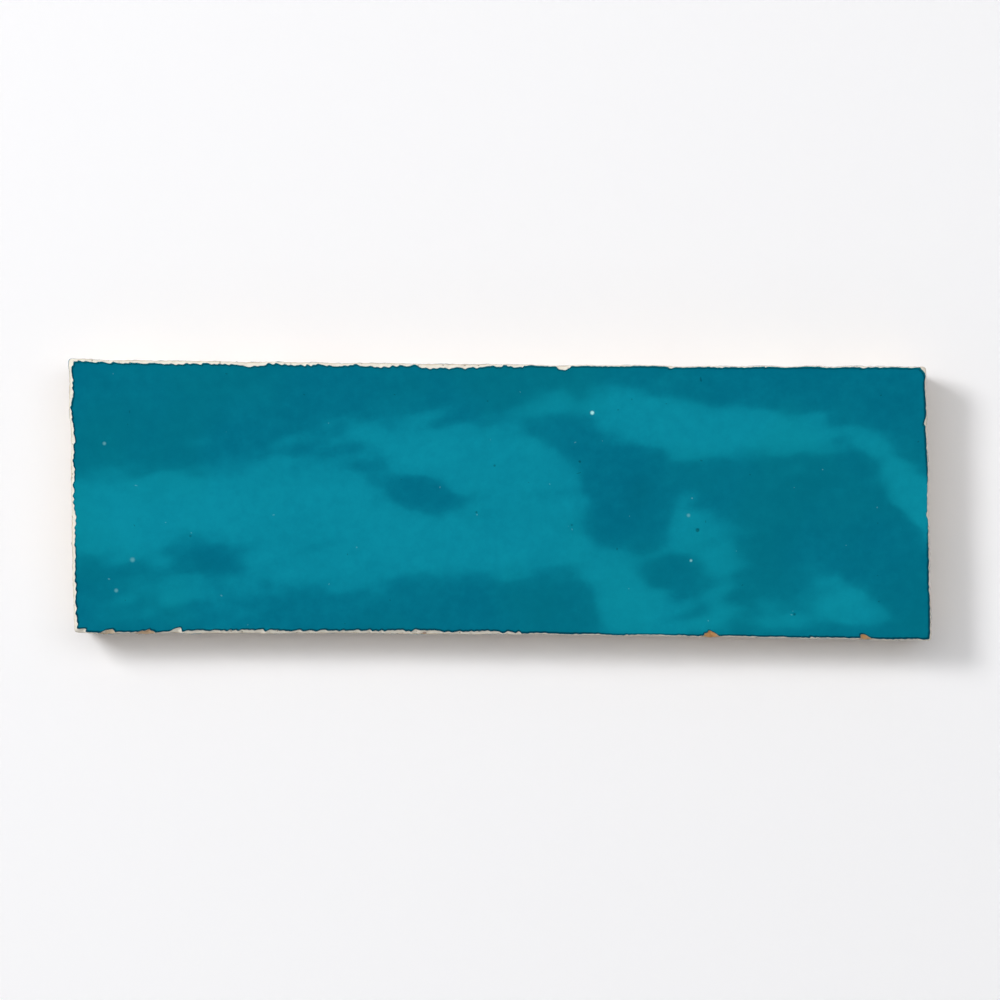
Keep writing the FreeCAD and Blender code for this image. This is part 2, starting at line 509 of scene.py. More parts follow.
def border_of(grid: np.ndarray) -> np.ndarray:
    """The outer points of a grid, counterclockwise from its first corner.

    Args:
        grid: point numbers by column and row.

    Returns:
        The numbers round its border.
    """
    return np.concatenate([grid[:-1, 0], grid[-1, :-1], grid[:0:-1, -1], grid[0, :0:-1]])


@dataclass(frozen=True)
class CutMarks:
    """Marks of the cutting hammer and grain of the clay on the sides, in millimetres.

    Args:
        slant: how much the strokes lean.
        pit_rarity, pit_depth: how high the pits' waves rise before there is one, and the deepest pit.
        proudest, deepest: how far the clay stands out at most, below 0, and lies in at most.
    """

    strokes: Swell = Swell(0.30, 7.0, 15.0, 51, 0.35)
    ledges: Swell = Swell(0.13, 2.4, 6.5, 54, 1.6)
    grain: Swell = Swell(0.05, 0.9, 2.4, 52, 1.2)
    pits: Swell = Swell(0.5, 1.6, 3.6, 53)
    slant: float = 0.5
    pit_rarity: float = 0.75
    pit_depth: float = 0.5
    proudest: float = -0.12
    deepest: float = 0.9

    def depth(self, along: np.ndarray, height: np.ndarray) -> np.ndarray:
        """How much further in the clay lies for the marks.

        Args:
            along: places round the tile, in millimetres.
            height: their heights over the back.

        Returns:
            The depth at each place in millimetres, below 0 where the clay stands proud.
        """
        strokes = np.abs(self.strokes.read(along + self.slant * height, height))
        pits = np.clip(self.pits.read(along, height) - self.pit_rarity, 0, self.pit_depth)
        rough = strokes + self.ledges.read(along, height) + self.grain.read(along, height) + pits
        return np.clip(rough, self.proudest, self.deepest)


@dataclass(frozen=True)
class Wear:
    """How the glaze broke off along the arris, in millimetres.

    Args:
        worn_end: where along the tile the worn part ends.
        kept_middle, kept_reach: the short kept part near the front left corner.
        bites, bite_half, bite_width: number of the small bites and range of their half length and width.
        earth_reach: how far a chip's orange clay shows before it fades, as a share of the chip.
        chips: the bites that the photo shows.
    """

    worn_width: float = 0.50
    kept_width: float = 0.16
    least_width: float = 0.13
    most_width: float = 0.9
    worn_end: float = 4.0
    kept_middle: float = -64.5
    kept_reach: float = 9.0
    raggedness: float = 0.32
    waves: tuple[Rounds, ...] = (
        Rounds(0.35, 430, 200, 21),
        Rounds(0.45, 200, 60, 22),
        Rounds(0.6, 60, 9, 23),
    )
    bites: int = 60
    bite_half: Pair = (0.25, 0.9)
    bite_width: Pair = (0.10, 0.34)
    bite_raggedness: float = 0.18
    bite_seed: int = 5
    earth_reach: float = 1.3
    chips: tuple[Chip, ...] = (
        Chip(11.0, 23.7, 1.3, 0.85),
        Chip(29.8, 23.7, 0.6, 0.4),
        Chip(37.2, -23.6, 1.3, 0.9, 1.0),
        Chip(64.4, -23.9, 0.9, 0.8, 0.8),
        Chip(-73.4, -23.9, 0.8, 0.7),
        Chip(-68.6, -23.9, 1.3, 0.7, 0.45),
        Chip(-61.8, -23.8, 1.6, 0.75, 0.55),
        Chip(-56.6, -23.8, 1.1, 0.75),
        Chip(74.4, 24.0, 1.0, 0.5),
        Chip(74.6, 14.5, 0.7, 0.45),
        Chip(75.0, -2.0, 0.8, 0.35),
    )

    def bare_width(self, outline: Outline) -> np.ndarray:
        """Work out where the glaze has broken away.

        Args:
            outline: the tile seen from above.

        Returns:
            How far in from the outline it is gone, at each point of the ring.
        """
        ring = outline.outer
        ragged = sum(waves.read(outline.places) for waves in self.waves)
        by_corner = (ring[:, 1] < 0) & (np.abs(ring[:, 0] - self.kept_middle) < self.kept_reach)
        kept = (ring[:, 0] > self.worn_end) | by_corner
        line = np.where(kept, self.kept_width, self.worn_width) * (1.0 + self.raggedness * ragged)
        width = np.clip(line, self.least_width, self.most_width)
        chips = list(self.chips)
        random = np.random.RandomState(self.bite_seed)
        for _ in range(self.bites):
            x, y = ring[random.randint(len(ring))]
            chips.append(Chip(x, y, random.uniform(*self.bite_half), random.uniform(*self.bite_width)))
        for chip in chips:
            away = np.hypot(ring[:, 0] - chip.x, ring[:, 1] - chip.y) / chip.half
            bite = chip.width * np.sqrt(np.clip(1 - away**2, 0, 1)) * (1 + self.bite_raggedness * ragged)
            width = np.maximum(width, bite)
        return width

    def earth(self, outline: Outline) -> np.ndarray:
        """Work out where the chips show orange earth.

        Args:
            outline: the tile seen from above.

        Returns:
            How much of it shows at each point of the ring, twice over.
        """
        ring = outline.outer
        shown = np.zeros(len(ring))
        for chip in self.chips:
            away = np.hypot(ring[:, 0] - chip.x, ring[:, 1] - chip.y) / (chip.half * self.earth_reach)
            shown = np.maximum(shown, 2 * chip.earth * np.clip(self.earth_reach - away, 0, 1))
        return shown


@dataclass(frozen=True)
class Run:
    """The glaze that ran down the sides, in millimetres.

    Args:
        most, least: limits of its length; where it ran less than the least there is none.
        drips, drip_half, drip_drop: number of drips and range of their half width and drop.
        rows: the mesh's rows on it, each a share of its length and the thickness of the glaze there.
        roughness: how much of the clay's roughness shows through it.
    """

    mean: float = 1.7
    waves: tuple[Rounds, ...] = (
        Rounds(0.9, 22, 5, 31),
        Rounds(0.36, 80, 24, 32),
        Rounds(0.08, 300, 90, 35),
    )
    most: float = 8.5
    least: float = 0.9
    drips: int = 20
    drip_half: Pair = (1.2, 3.4)
    drip_drop: Pair = (0.4, 2.6)
    drip_seed: int = 34
    rows: Rows = ((0.0, 0.05), (0.3, 0.071), (0.65, 0.0955), (0.92, 0.1144), (1.0, 0.02))
    roughness: float = 0.45

    def length(self, outline: Outline) -> np.ndarray:
        """Work out how far down the sides the glaze ran before it set.

        Args:
            outline: the tile seen from above.

        Returns:
            The length that it ran at each point of the ring.
        """
        places = outline.places
        length = sum((waves.read(places) for waves in self.waves), self.mean)
        random = np.random.RandomState(self.drip_seed)
        for _ in range(self.drips):
            middle = random.uniform(0, 1)
            half, drop = random.uniform(*self.drip_half), random.uniform(*self.drip_drop)
            away = ((places - middle + 0.5) % 1 - 0.5) * outline.around / half
            length = length + drop * np.sqrt(np.clip(1 - away**2, 0, 1))
        return np.clip(length, 0.0, self.most)


@dataclass(frozen=True)
class Back:
    """Slight unevenness of the flat back, in millimetres.

    Args:
        ring, grid: how far in from the rim the next ring and the grid begin.
        hollows, dents: waves of both kinds of low places, with the deepest of each.
        hollow_more: added to the hollows' waves.
        fade: width along the long sides where the low places fade out.
    """

    ring: float = 0.7
    grid: float = 2.0
    hollows: Swell = Swell(0.10, 9, 40, 61, 2.2)
    dents: Swell = Swell(0.05, 2.5, 6, 62)
    hollow_more: float = 0.02
    deepest_hollow: float = 0.2
    deepest_dent: float = 0.1
    fade: float = 6.0

    def height(self, x: np.ndarray, y: np.ndarray, half_width: float) -> np.ndarray:
        """How high the back lies over the table at each point.

        Args:
            x, y: points in millimetres.
            half_width: half the width of the tile.

        Returns:
            The heights in millimetres.
        """
        hollows = np.clip(self.hollows.read(x, y) + self.hollow_more, 0, self.deepest_hollow)
        dents = np.clip(self.dents.read(x, y), 0, self.deepest_dent)
        return (hollows + dents) * np.minimum(1, (half_width - np.abs(y)) / self.fade)


def grid_between(border: np.ndarray, columns: int, rows: int) -> np.ndarray:
    """Points of a grid that fills a ring, laid between its front and its rear side.

    Args:
        border: the ring's points, counterclockwise from the front left corner.
        columns, rows: squares along and across.

    Returns:
        The points in X and Y, column by column.
    """
    front = border[: columns + 1]
    rear = border[columns + rows : 2 * columns + rows + 1][::-1]
    share = np.linspace(0, 1, rows + 1)[None, :, None]
    return (front[:, None, :] * (1 - share) + rear[:, None, :] * share).reshape(-1, 2)


@dataclass
class TileBody:
    """The fired tile: face, broken arris, glazed and bare parts of its sides, and its back.

    Args:
        undercut, land: how far the sides lean in, and the upright land above that.
        rim_radius, broken_radius: roundness of the glaze's rim where it is whole and where it broke.
        open_break, break_slope: width from which a break has its full depth, and its depth for its width.
        break_rows: rows down the break: share of its width, drop under the edge, share of its depth and
            how fresh the clay is.
        break_foot, least_foot: where the break ends under the edge, and the least run under that.
        side_gap, side_blend: how the bare side meets the glaze above it.
        smooth_share: how rough the land is against the lower side.
        face_rows: rows outside the face's grid, as shares of the border, and how much painted shade of the
            rim each takes.
        lip_turns: rows round the rim, as turns from the face.
        back_rows: insets past the undercut and heights of the two rows round the back.
    """

    outline: Outline
    face: Face
    wear: Wear = Wear()
    run: Run = Run()
    marks: CutMarks = CutMarks()
    back: Back = Back()
    glaze_depth: float = 0.22
    undercut: float = 1.0
    land: float = 4.0
    back_bevel: float = 0.4
    rim_radius: float = 0.34
    broken_radius: float = 0.06
    # Painted shade along the rim, and more of it where the lip turns down.
    painted_rim_shade: float = -1.3
    painted_lip_shade: float = -0.4
    open_break: float = 0.14
    break_slope: float = 0.85
    lip_overhang: float = 0.03
    lip_drop: float = 0.02
    lip_step: float = 0.8
    break_rows: Rows = ((0.45, 0.06, 0.55, 1.0), (0.0, 0.20, 0.85, 0.5))
    fresh_tone: float = -0.9
    break_foot: float = 0.26
    least_foot: float = 0.15
    side_rows: int = 18
    side_gap: float = 0.08
    side_blend: float = 0.8
    side_start: float = 0.05
    smooth_share: float = 0.45
    face_rows: Rows = ((0.72, 0.0), (0.45, 0.0), (0.26, 0.0), (0.13, 0.3), (0.07, 1.0))
    lip_turns: tuple[float, ...] = (0.0, 0.5, 1.0, math.pi / 2)
    back_rows: Rows = ((-0.1, 0.08), (0.35, 0.0))
    back_waves: Rounds = Rounds(0.012, 300, 20, 41)
    drift_waves: tuple[Rounds, ...] = (Rounds(0.055, 60, 8, 71), Rounds(0.02, 420, 90, 72))
    drift_limits: Pair = (-0.12, 0.3)

    def face_height(self, inset: np.ndarray) -> np.ndarray:
        """Height of the face at each point of the ring, at an inset of its own."""
        points = self.outline.at(inset)
        return self.face.height(points[:, 0], points[:, 1])

    def bands(self) -> list[Band]:
        """Work out every ring from the face's border over the arris and down the side to the back.

        Returns:
            The rings, in that order.
        """
        count, border = self.outline.count, self.outline.border
        glazed, fired = np.full(count, Surface.GLAZE.value), np.full(count, Surface.CLAY.value)
        bare = self.wear.bare_width(self.outline)
        broken = np.clip(bare / self.open_break, 0, 1)
        radius = self.rim_radius + (self.broken_radius - self.rim_radius) * broken
        bands = []
        # The last rows of the face and the lip are painted darker as shade along the rounded rim, darker
        # still as the lip turns down.
        for share, dark in self.face_rows:
            inset = bare + radius + (border - bare - radius) * share
            bands.append(Band(inset, self.face_height(inset), glazed, self.painted_rim_shade * dark))
        for turn in self.lip_turns:
            inset = bare + radius * (1 - math.sin(turn))
            height = self.face_height(inset) - radius * (1 - math.cos(turn))
            bands.append(Band(inset, height, glazed, self.painted_rim_shade + self.painted_lip_shade * math.sin(turn)))

        fresh = self.wear.earth(self.outline) + self.fresh_tone
        under = bands[-1].height - self.lip_drop - self.lip_step * self.glaze_depth * broken
        bands.append(Band(bare - self.lip_overhang * broken, under, fired, fresh))
        depth = broken * (self.glaze_depth + self.break_slope * bare)
        edge = self.face_height(np.zeros(count)) - radius
        for share, drop, deep, pale in self.break_rows:
            bands.append(Band(bare * share, edge - drop - deep * depth, fired, pale * fresh))

        bands += self.side_bands(edge, edge - self.break_foot - depth, glazed, fired)
        drift = sum(waves.read(self.outline.places) for waves in self.drift_waves)
        drift = np.clip(drift, *self.drift_limits)
        for band in bands:
            band.inset = band.inset + drift * (1 - band.inset / border)
        return bands

    def side_bands(
        self, edge: np.ndarray, top: np.ndarray, glazed: np.ndarray, fired: np.ndarray
    ) -> list[Band]:
        """Rings down the side, over the glaze that ran there and the bare clay, to the back.

        Args:
            edge, top: heights of the outline's edge and of the first ring.
            glazed, fired: glaze marks of a ring of glaze and of one of clay.

        Returns:
            The rings, from above.
        """
        length = self.run.length(self.outline)
        runs = np.where(length > self.run.least, glazed, fired)
        foot = np.minimum(top - self.least_foot, edge - length)
        bands = []
        for share, thickness in self.run.rows:
            height = top + (foot - top) * share
            inset = self.run.roughness * self.side_inset(height) - thickness * runs
            bands.append(Band(inset, height, runs))
        low = bands[-1].height
        for share in np.linspace(0, 1, self.side_rows):
            height = (low - self.side_gap) * (1 - share) + self.back_bevel * share
            near = np.clip((low - height) / self.side_blend, 0, 1)
            bands.append(Band(self.side_inset(height) * (1 + near) / 2, height, fired))
        base = self.undercut + self.back_bevel
        uneven = (self.back_waves.read(self.outline.places), np.zeros(len(fired)))
        for (inset, height), waves in zip(self.back_rows, uneven):
            bands.append(Band(base + inset + waves, np.full(len(fired), height), fired))
        return bands

    def side_inset(self, height: np.ndarray) -> np.ndarray:
        """How far in the cut clay side lies.

        Args:
            height: a height over the back for each point of the ring.

        Returns:
            The inset at each point.
        """
        span = self.face.level - self.land
        fall = np.clip((span - height) / span, 0, 1)
        marks = self.marks.depth(self.outline.places * self.outline.around, height)
        rough_share = self.smooth_share + (1 - self.smooth_share) * fall
        return self.side_start + self.undercut * fall + marks * rough_share

    def build(self) -> bpy.types.Object:
        """Make the tile.

        Returns:
            Its object, with its mesh and no material yet.
        """
        outline, shape = self.outline, Shape()
        bands = self.bands()
        rings = []
        for band in bands:
            flat = outline.at(band.inset)
            # The face's lean to the rear goes into the tone, which paints the glaze lighter there as a
            # painted reflection of the soft box.
            tone = self.face.lean(flat[:, 0], flat[:, 1]) * band.glaze + band.shade
            rings.append(shape.add(np.column_stack([flat, band.height]), band.glaze, tone))
        for upper, lower in zip(rings, rings[1:]):
            shape.strip(upper, lower)

        columns, rows = outline.columns // 2, outline.rows // 2
        flat = grid_between(outline.inner[0::2], columns, rows)
        height = self.face.height(flat[:, 0], flat[:, 1])
        # The lean becomes the tone: a painted reflection of the soft box where the face leans to the rear.
        tone = self.face.lean(flat[:, 0], flat[:, 1])
        numbers = shape.add(np.column_stack([flat, height]), np.full(len(flat), Surface.GLAZE.value), tone)
        grid = numbers.reshape(columns + 1, rows + 1)
        shape.sheet(grid, upward=True)
        shape.halve(border_of(grid), rings[0], outward=True)

        self.close_back(shape, rings[-1], bands[-1].inset)
        return linked(bpy.data.objects.new("fired_tile", shape.mesh("fired_tile")))

    def close_back(self, shape: Shape, rim: np.ndarray, inset: np.ndarray) -> None:
        """Close the flat back with a coarser grid.

        Args:
            shape: the mesh so far.
            rim: the last ring's point numbers.
            inset: how far in that ring lies.
        """
        outline = self.outline
        coarse = outline.at(inset + self.back.ring)[0::2]
        bare = np.full(len(coarse), Surface.CLAY.value)
        plain = np.zeros(len(coarse))
        middle = shape.add(np.column_stack([coarse, plain]), bare, plain)
        shape.halve(middle, rim, outward=False)

        columns, rows = outline.columns // 4, outline.rows // 4
        flat = grid_between(outline.at(inset + self.back.grid)[0::4], columns, rows)
        height = self.back.height(flat[:, 0], flat[:, 1], outline.width / 2)
        bare = np.full(len(flat), Surface.CLAY.value)
        numbers = shape.add(np.column_stack([flat, height]), bare, np.zeros(len(flat)))
        grid = numbers.reshape(columns + 1, rows + 1)
        shape.sheet(grid, upward=False)
        shape.halve(border_of(grid), middle, outward=False)


class Value:
    """A number or link in a material that Python's own operators work on."""

    def __init__(self, tree: bpy.types.NodeTree, source: object) -> None:
        """Wrap an output socket or a plain number of a node tree."""
        self.tree = tree
        self.source = source

    def apply(self, operation: str, *others: object) -> "Value":
        """Add a Math node on this value and others.

        Args:
            operation: what the node does.
            others: values or numbers that follow this one.

        Returns:
            Its result.
        """
        node = self.tree.nodes.new("ShaderNodeMath")
        node.operation = operation
        for socket, item in zip(node.inputs, (self, *others)):
            plug(self.tree, socket, item)
        return Value(self.tree, node.outputs[0])

    def __add__(self, other: object) -> "Value":
        """self + other."""
        return self.apply("ADD", other)

    __radd__ = __add__

    def __sub__(self, other: object) -> "Value":
        """self - other."""
        return self.apply("SUBTRACT", other)

    def __rsub__(self, other: object) -> "Value":
        """other - self."""
        return Value(self.tree, other).apply("SUBTRACT", self)

    def __mul__(self, other: object) -> "Value":
        """self * other."""
        return self.apply("MULTIPLY", other)

    __rmul__ = __mul__

    def spread(self, start: float, end: float) -> "Value":
        """Read this value smoothly between two ends.

        Args:
            start, end: where the result is 0 and where it is 1.

        Returns:
            The result, from 0 to 1.
        """
        settings = {"interpolation_type": "SMOOTHSTEP"}
        node = Paint(self.tree).node("MapRange", settings, Value=self, From_Min=start, From_Max=end)
        return Value(self.tree, node.outputs["Result"])


def plug(tree: bpy.types.NodeTree, socket: bpy.types.NodeSocket, item: object) -> None:
    """Give a socket a number, a colour, another socket or a Value.

    Args:
        tree: the material's node tree.
        socket: the input to fill.
        item: what to fill it with.
    """
    while isinstance(item, Value):
        item = item.source
    if isinstance(item, bpy.types.NodeSocket):
        tree.links.new(item, socket)
    else:
        socket.default_value = item


@dataclass(frozen=True)
class Grain:
    """A noise: its grains in a metre, how many finer layers it has and how strong those are."""

    scale: float
    detail: float
    roughness: float


@dataclass(frozen=True)
class Dots:
    """Small round dots scattered over the piece.

    Args:
        scale: how many places for a dot there are in a metre.
        radius: size of a dot, as a share of the distance between places.
        share: share of the places that hold one.
        flat: whether they lie in the face, and not all through the clay.
        stir_grain, stir_reach: the noise that pulls them out of round, for a scale of 1.
    """

    scale: float
    radius: float
    share: float
    flat: bool = False
    stir_grain: float = 2.5
    stir_reach: float = 0.45
    sharpness: float = 0.01


@dataclass
class Paint:
    """Adds nodes to one material's tree."""

    tree: bpy.types.NodeTree

    def node(
        self, kind: str, settings: dict | None = None, numbered: dict | None = None, **inputs: object
    ) -> bpy.types.Node:
        """Add a node.

        Args:
            kind: its type without the leading ShaderNode.
            settings: its own properties, set before its sockets.
            numbered: those of its sockets that share a name, by number.
            inputs: its other sockets by name with underscores for spaces.

        Returns:
            The new node.
        """
        node = self.tree.nodes.new(f"ShaderNode{kind}")
        for name, value in (settings or {}).items():
            setattr(node, name, value)
        for number, item in (numbered or {}).items():
            plug(self.tree, node.inputs[number], item)
        for name, item in inputs.items():
            plug(self.tree, node.inputs[name.replace("_", " ")], item)
        return node

    def dots(self, dots: Dots) -> Value:
        """Scatter small dots over the piece.

        Args:
            dots: their size and their number.

        Returns:
            1 on a dot and 0 off it.
        """
        place = self.node("TexCoord").outputs["Object"]
        settings = {"voronoi_dimensions": "2D" if dots.flat else "3D"}
        stir = self.node("TexNoise", Vector=place, Scale=dots.scale * dots.stir_grain, Detail=1.0)
        reach = (dots.stir_reach / dots.scale,) * 3
        pulled = {0: stir.outputs["Color"], 1: reach, 2: place}
        stirred = self.node("VectorMath", {"operation": "MULTIPLY_ADD"}, pulled)
        cells = self.node("TexVoronoi", settings, Vector=stirred.outputs[0], Scale=dots.scale)
        near = self.value(cells, "Distance").spread(dots.radius, dots.radius / 2)
        chance = self.value(self.node("SeparateColor", Color=cells.outputs["Color"]), "Red")
        return near * chance.spread(1 - dots.share, 1 - dots.share + dots.sharpness)

    def value(self, node: bpy.types.Node, output: str | int = 0) -> Value:
        """One output of a node as a value to reckon with."""
        return Value(self.tree, node.outputs[output])

    def noise(self, grain: Grain) -> Value:
        """Add a noise that is fixed to the piece.

        Args:
            grain: how coarse and how rough it is.

        Returns:
            The noise, between 0 and 1.
        """
        place = self.node("TexCoord").outputs["Object"]
        noise = self.node(
            "TexNoise", Vector=place, Scale=grain.scale, Detail=grain.detail, Roughness=grain.roughness
        )
        return self.value(noise, "Fac")

    def mark(self, name: str) -> Value:
        """A mark of the mesh's points."""
        return self.value(self.node("Attribute", {"attribute_name": name}), "Fac")

    def blend(self, share: object, low: object, high: object) -> bpy.types.NodeSocket:
        """Mix two colours.

        Args:
            share: how much of the second one there is.
            low, high: the two colours.

        Returns:
            The result's socket.
        """
        return self.node("Mix", {"data_type": "RGBA"}, {0: share, 6: low, 7: high}).outputs[2]


@dataclass(frozen=True)
class Speck:
    """A small kiln mark on the face: its place and radius in millimetres, its kind and how plain it is."""

    x: float
    y: float
    radius: float
    pale: bool = True
    plain: float = 0.26


@dataclass(frozen=True)
class TealGlaze:
    """A glossy transparent teal glaze, deeper where it pools and lighter where it runs thin, with a
    painted reflection of the soft box where the face leans to the rear and painted shade along its rim.

    Args:
        rim, deep, light, sea: its colours at the rim, where it is thick or thin, and where it is greener.
            The rim colour is painted shade; the light one also stands for a painted reflection where the
            face leans to the rear.
        clouds, smoke, dust: unevenness of its thickness, from coarse to fine.
        painted_reflection_share, middle: how much the face's lean to the rear lightens it, as a painted
            reflection of the soft box, and its middle.
        drift, drift_share: where it is greener, and by how much.
        thin_and_reflection_ends, painted_rim_shade_ends, drift_ends: where each of these begins to change
        the colour, and where it
            has changed it wholly.
        peel, relief: unevenness of its surface, and the height in metres that stands for 1.
        specks: the kiln marks that the photo shows.
    """

    # Painted shade: the dark colour of the rim.
    rim: tuple = (0.0004, 0.056, 0.092, 1)
    deep: tuple = (0.0004, 0.1455, 0.2335, 1)
    light: tuple = (0.0018, 0.198, 0.292, 1)
    sea: tuple = (0.0010, 0.172, 0.222, 1)
    pale: tuple = (0.42, 0.80, 0.80, 1)
    hole: tuple = (0.0004, 0.055, 0.085, 1)
    tint: tuple = (0.02, 0.88, 1.0, 1)
    roughness: float = 0.07
    ior: float = 1.56
    clouds: Grain = Grain(110, 5, 0.62)
    smoke: Grain = Grain(480, 4, 0.6)
    dust: Grain = Grain(1500, 2, 0.5)
    smoke_share: float = 1.1
    dust_share: float = 0.3
    painted_reflection_share: float = 0.2
    middle: float = 0.42
    drift: Grain = Grain(34, 3, 0.5)
    drift_share: float = 0.4
    thin_and_reflection_ends: Pair = (-0.2, 1.2)
    painted_rim_shade_ends: Pair = (-0.7, -1.5)
    drift_ends: Pair = (0.42, 0.72)
    pale_dots: Dots = Dots(210, 0.03, 0.10, flat=True)
    pale_share: float = 0.16
    dark_dots: Dots = Dots(130, 0.022, 0.3, flat=True)
    dark_share: float = 0.6
    wear: Grain = Grain(2600, 2, 0.5)
    wear_rough: float = 0.03
    mark_rough: float = 0.3
    peel: Grain = Grain(260, 3, 0.5)
    peel_fine: Grain = Grain(1500, 2, 0.5)
    peel_share: float = 0.12
    mark_depth: float = 1.5
    relief: float = 0.0000035
    specks: tuple[Speck, ...] = (
        Speck(16.0, 15.4, 0.5, plain=1.0),
        Speck(33.5, -10.3, 0.34, plain=0.6),
        Speck(-69.3, 9.3, 0.45),
        Speck(-64.2, -11.0, 0.6),
        Speck(33.0, -2.4, 0.45),
        Speck(56.4, 5.8, 0.18),
        Speck(51.4, -19.0, 0.22),
        Speck(-4.0, -2.6, 0.2),
        Speck(33.6, 0.6, 0.2),
        Speck(-67.0, -16.4, 0.5),
        Speck(-48.0, 11.5, 0.18),
        Speck(-25.0, -8.5, 0.18),
        Speck(12.0, -4.5, 0.2),
        Speck(34.6, -5.0, 0.42, pale=False, plain=1.0),
        Speck(51.7, -19.6, 0.36, pale=False, plain=0.8),
        Speck(61.0, -9.0, 0.26, pale=False, plain=0.7),
        Speck(-1.0, 6.0, 0.28, pale=False, plain=0.7),
        Speck(13.9, 6.8, 0.34, pale=False, plain=0.8),
        Speck(12.6, -4.3, 0.3, pale=False, plain=0.7),
        Speck(-4.1, -2.2, 0.28, pale=False, plain=0.7),
        Speck(-54.1, -6.8, 0.3, pale=False, plain=0.6),
        Speck(22.9, 17.8, 0.28, pale=False, plain=0.7),
    )

    def shader(self, paint: Paint) -> bpy.types.NodeSocket:
        """Build the glaze.

        Args:
            paint: adds the nodes.

        Returns:
            The socket of its shader.
        """
        tone = paint.mark("tone")
        uneven = (
            (paint.noise(self.clouds) - 0.5)
            + (paint.noise(self.smoke) - 0.5) * self.smoke_share
            + (paint.noise(self.dust) - 0.5) * self.dust_share
        )
        # Painted reflection: lighter where the face leans to the rear, toward the soft box; the noises add
        # uneven thickness of the glaze.
        thin = tone * self.painted_reflection_share + uneven + self.middle
        colour = paint.blend(thin.spread(*self.thin_and_reflection_ends), self.deep, self.light)
        greener = paint.noise(self.drift).spread(*self.drift_ends) * self.drift_share
        colour = paint.blend(greener, colour, self.sea)
        # Painted shade: the rim is painted dark.
        colour = paint.blend(tone.spread(*self.painted_rim_shade_ends), colour, self.rim)
        spots = self.spots(paint, True)
        holes = self.spots(paint, False)
        colour = paint.blend(spots, colour, self.pale)
        colour = paint.blend(holes, colour, self.hole)
        colour = paint.blend(paint.dots(self.pale_dots) * self.pale_share, colour, self.pale)
        colour = paint.blend(paint.dots(self.dark_dots) * self.dark_share, colour, self.hole)
        rough = (paint.noise(self.wear) - 0.5) * self.wear_rough + self.roughness + spots * self.mark_rough
        peel = paint.noise(self.peel) + paint.noise(self.peel_fine) * self.peel_share
        relief = peel - (spots + holes) * self.mark_depth
        bump = paint.node("Bump", Height=relief, Strength=1.0, Distance=self.relief)
        shader = paint.node(
            "BsdfPrincipled",
            Base_Color=colour,
            Roughness=rough,
            Normal=bump.outputs[0],
            IOR=self.ior,
            Specular_Tint=self.tint,
        )
        return shader.outputs[0]

    def spots(self, paint: Paint, pale: bool) -> Value:
        """Work out where the kiln marks of one kind are.

        Args:
            paint: adds the nodes.
            pale: whether the pale ones are wanted, and not the dark ones.

        Returns:
            0 off a mark, and on it how plain it is.
        """
        place = paint.node("TexCoord").outputs["Object"]
        spots = None
        for speck in (speck for speck in self.specks if speck.pale is pale):
            middle = (speck.x * MM, speck.y * MM, FACE_LEVEL * MM)
            away = paint.node("VectorMath", {"operation": "DISTANCE"}, {0: place, 1: middle})
            radius = speck.radius * MM
            near = paint.value(away, "Value").spread(radius, radius / 2 * speck.plain) * speck.plain
            spots = near if spots is None else spots.apply("MAXIMUM", near)
        return spots


